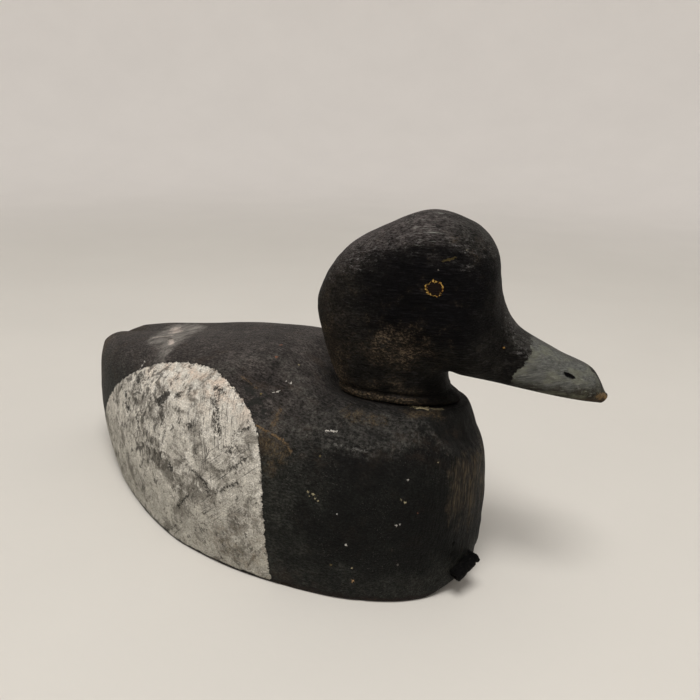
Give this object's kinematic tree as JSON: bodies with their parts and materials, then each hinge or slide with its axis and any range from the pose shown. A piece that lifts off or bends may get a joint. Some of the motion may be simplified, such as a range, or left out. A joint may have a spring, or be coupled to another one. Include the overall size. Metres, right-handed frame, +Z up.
{
  "type": "duck decoy",
  "caption": "Carved and painted wooden diving-duck decoy with a turned head, a flat underside and a folded strap tab low on the breast for the anchor line.",
  "frame": {"origin": "middle of the flat underside, half way along the body block and on its centre line", "axes": "+X towards the breast, +Y towards the duck's left, +Z up"},
  "size_m": [0.3489, 0.144, 0.1906],
  "materials": {
    "black_painted_wood": "old matt charcoal-black paint, off-white flank patches, scuffed to brown wood on the breast",
    "worn_painted_wood": "old matt black paint over lengthwise grain, brown wear low on the neck, grey bill",
    "black_leather": "weathered black strap leather"
  },
  "bodies": {
    "root": {"body": "black_painted_wood", "head": "worn_painted_wood", "line_strap": "black_leather"}
  },
  "joints": []
}
